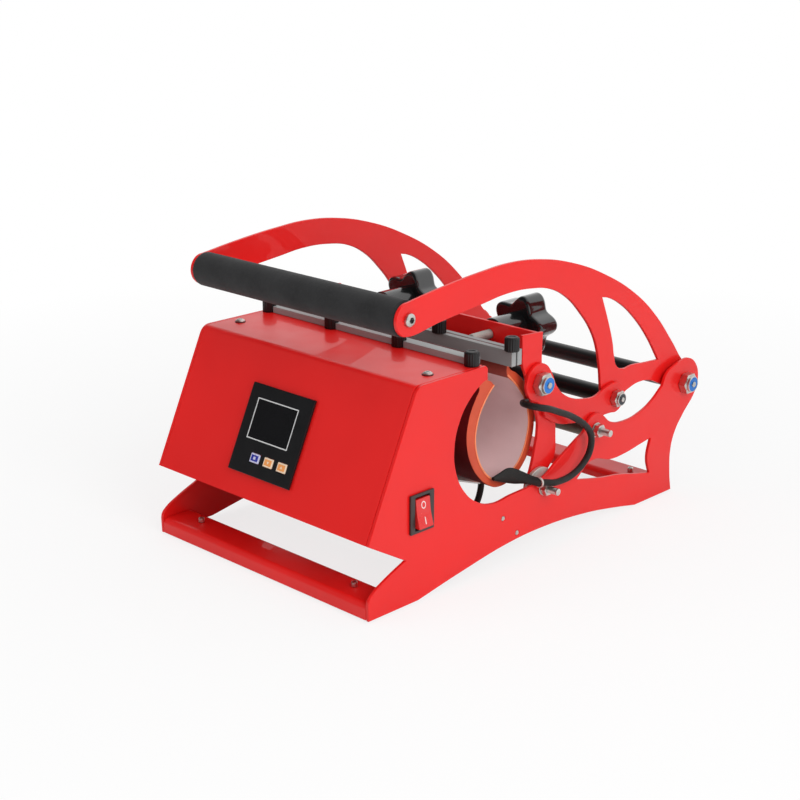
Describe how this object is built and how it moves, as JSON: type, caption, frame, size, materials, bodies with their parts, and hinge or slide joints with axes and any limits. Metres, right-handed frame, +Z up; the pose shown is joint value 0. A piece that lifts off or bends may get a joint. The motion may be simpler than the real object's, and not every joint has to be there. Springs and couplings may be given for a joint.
{
  "type": "mug heat press",
  "caption": "Tabletop heat press: a curved heating mat in a red sheet steel housing is closed round a mug by a pair of linked handle arms, with a controller on its sloping front",
  "frame": {"origin": "the bottom centre of the bounding box, on the table under the rubber feet", "axes": "+Z up, +X across the machine to its right plate with the switch, -Y to its front panel"},
  "size_m": [0.2824, 0.4179, 0.2465],
  "materials": {
    "red_paint": "gloss powder coat",
    "bare_sheet": "bare galvanised sheet",
    "controller_black": "satin moulded",
    "screen": "dark display window",
    "button_blue": "satin moulded",
    "button_orange": "satin moulded",
    "switch_black": "satin moulded",
    "paddle_red": "gloss moulded",
    "aluminium": "machined",
    "mat_silicone": "matt silicone",
    "lead_sleeve": "matt sleeve",
    "gland_black": "moulded nylon",
    "zinc": "bright zinc plate",
    "spacer_zinc": "dull zinc plate",
    "bare_tube": "bare oiled steel",
    "tube_black": "satin black",
    "grip_foam": "closed-cell foam",
    "knob_black": "gloss moulded",
    "foot_rubber": "matt rubber",
    "cap_black": "knurled"
  },
  "bodies": {
    "frame": {"left_side_plate": "red_paint", "right_side_plate": "red_paint", "housing_cover": "red_paint", "housing_rear_wall_and_floor": "red_paint", "front_foot_bar": "red_paint", "rear_foot_bar": "red_paint", "lead_bracket": "bare_sheet", "controller_case": "controller_black", "controller_screen": "screen", "rocker_bezel": "switch_black", "mains_inlet": "switch_black", "front_clamp_bar": "aluminium", "heating_mat": "mat_silicone", "heater_lead": "lead_sleeve", "lead_sleeve": "lead_sleeve", "lead_gland": "gland_black", "cover_screw_left": "zinc", "cover_screw_right": "zinc", "arm_pivot_rod": "zinc", "left_clamp_bolt": "zinc", "right_clamp_bolt": "zinc", "stop_rod": "zinc", "left_clamp_spacer": "spacer_zinc", "right_clamp_spacer": "spacer_zinc", "stop_sleeve": "bare_tube", "rubber_foot_front_left": "foot_rubber", "rubber_foot_front_right": "foot_rubber", "rubber_foot_rear_left": "foot_rubber", "rubber_foot_rear_right": "foot_rubber", "front_cap_1": "cap_black", "front_cap_2": "cap_black", "front_cap_3": "cap_black", "front_cap_4": "cap_black"},
    "handle_arms": {"left_arm": "red_paint", "right_arm": "red_paint", "handle_grip": "grip_foam", "handle_core": "zinc", "arm_cross_tube": "tube_black", "knee_cross_tube": "tube_black"},
    "links": {"left_link": "red_paint", "right_link": "red_paint", "knee_rod": "zinc", "left_elbow_bolt": "zinc", "right_elbow_bolt": "zinc"},
    "clamp": {"swing_clamp": "red_paint", "rear_bar_front_strip": "aluminium", "rear_bar_rear_strip": "aluminium", "rear_cap_1": "cap_black", "rear_cap_2": "cap_black", "rear_cap_3": "cap_black", "rear_cap_4": "cap_black"},
    "left_knob": {"left_star_knob": "knob_black", "left_pressure_screw": "zinc"},
    "right_knob": {"right_star_knob": "knob_black", "right_pressure_screw": "zinc"},
    "rocker": {"rocker_paddle": "paddle_red"},
    "left_button": {"button_left": "button_blue"},
    "middle_button": {"button_middle": "button_orange"},
    "right_button": {"button_right": "button_orange"}
  },
  "joints": [
    {"name": "handle_swing", "type": "hinge", "parent": "frame", "child": "handle_arms", "pos_m": [0, 0.18695, 0.10048], "axis": [-1, 0, 0], "range_deg": [0, 50]},
    {"name": "knee", "type": "hinge", "parent": "handle_arms", "child": "links", "pos_m": [0, 0.08942, 0.10759], "axis": [1, 0, 0], "range_deg": [0, 94.8]},
    {"name": "clamp_swing", "type": "hinge", "parent": "frame", "child": "clamp", "pos_m": [0, -0.00797, 0.05349], "axis": [-1, 0, 0], "range_deg": [0, 29.56], "deforming": ["heating_mat"]},
    {"name": "left_knob_turn", "type": "hinge", "parent": "clamp", "child": "left_knob", "pos_m": [-0.064, -0.00505, 0.17202], "axis": [0, 1, 0], "continuous": true},
    {"name": "right_knob_turn", "type": "hinge", "parent": "clamp", "child": "right_knob", "pos_m": [0.064, -0.00505, 0.17202], "axis": [0, 1, 0], "continuous": true},
    {"name": "rocker_tilt", "type": "hinge", "parent": "frame", "child": "rocker", "pos_m": [0.1251, -0.15327, 0.07414], "axis": [0, 1, 0], "range_deg": [0, 21]},
    {"name": "left_button_press", "type": "slide", "parent": "frame", "child": "left_button", "axis": [0, 0.9062, -0.423], "range_m": [0, 0.0008], "stiffness_N_per_m": 900, "springref_m": -0.0004},
    {"name": "middle_button_press", "type": "slide", "parent": "frame", "child": "middle_button", "axis": [0, 0.9062, -0.423], "range_m": [0, 0.0008], "stiffness_N_per_m": 900, "springref_m": -0.0004},
    {"name": "right_button_press", "type": "slide", "parent": "frame", "child": "right_button", "axis": [0, 0.9062, -0.423], "range_m": [0, 0.0008], "stiffness_N_per_m": 900, "springref_m": -0.0004}
  ],
  "couplings": [
    {"joint": "knee", "follows": "handle_swing", "ratio": 1.896},
    {"joint": "clamp_swing", "follows": "handle_swing", "ratio": 0.5912}
  ]
}
